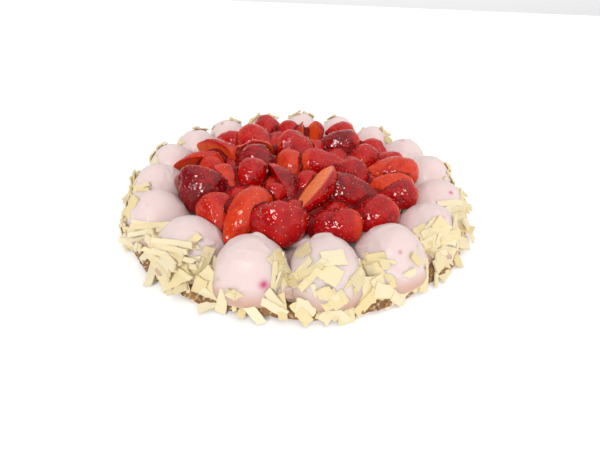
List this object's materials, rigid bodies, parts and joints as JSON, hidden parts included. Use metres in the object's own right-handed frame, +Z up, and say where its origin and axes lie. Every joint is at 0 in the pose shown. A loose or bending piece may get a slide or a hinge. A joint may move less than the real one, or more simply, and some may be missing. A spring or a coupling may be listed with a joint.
{
  "type": "strawberry tart",
  "caption": "Round tart with a thin baked base, a ring of pale pink cream domes with white chocolate flakes, and a glazed heap of cut strawberries in the middle.",
  "frame": {"origin": "centre of the baked base's flat underside", "axes": "+Z up, out of the top of the tart; -Y towards the side with the largest flakes, which is its front; +X to the right seen from the front"},
  "size_m": [0.2676, 0.27, 0.0458],
  "materials": {
    "crust": "baked, rough and crumbly",
    "cream": "smooth set cream with a soft sheen",
    "strawberry": "wet with clear glaze"
  },
  "bodies": {
    "root": {"crust": "crust", "cream_bed": "cream", "cream_dome_01": "cream", "cream_dome_02": "cream", "cream_dome_03": "cream", "cream_dome_04": "cream", "cream_dome_05": "cream", "cream_dome_06": "cream", "cream_dome_07": "cream", "cream_dome_08": "cream", "cream_dome_09": "cream", "cream_dome_10": "cream", "cream_dome_11": "cream", "cream_dome_12": "cream", "cream_dome_13": "cream", "cream_dome_14": "cream", "cream_dome_15": "cream", "cream_dome_16": "cream", "cream_dome_17": "cream", "strawberry_01": "strawberry", "strawberry_02": "strawberry", "strawberry_03": "strawberry", "strawberry_04": "strawberry", "strawberry_05": "strawberry", "strawberry_06": "strawberry", "strawberry_07": "strawberry", "strawberry_08": "strawberry", "strawberry_09": "strawberry", "strawberry_10": "strawberry", "strawberry_11": "strawberry", "strawberry_12": "strawberry", "strawberry_13": "strawberry", "strawberry_14": "strawberry", "strawberry_15": "strawberry", "strawberry_16": "strawberry", "strawberry_17": "strawberry", "strawberry_18": "strawberry", "strawberry_19": "strawberry", "strawberry_20": "strawberry", "strawberry_21": "strawberry", "strawberry_22": "strawberry", "strawberry_23": "strawberry", "strawberry_24": "strawberry", "strawberry_25": "strawberry", "strawberry_26": "strawberry", "strawberry_27": "strawberry", "strawberry_28": "strawberry", "strawberry_29": "strawberry", "strawberry_30": "strawberry", "strawberry_31": "strawberry", "strawberry_32": "strawberry", "strawberry_33": "strawberry", "strawberry_34": "strawberry", "strawberry_35": "strawberry", "strawberry_36": "strawberry", "strawberry_37": "strawberry", "strawberry_38": "strawberry", "strawberry_39": "strawberry", "strawberry_40": "strawberry", "strawberry_41": "strawberry"}
  },
  "joints": []
}
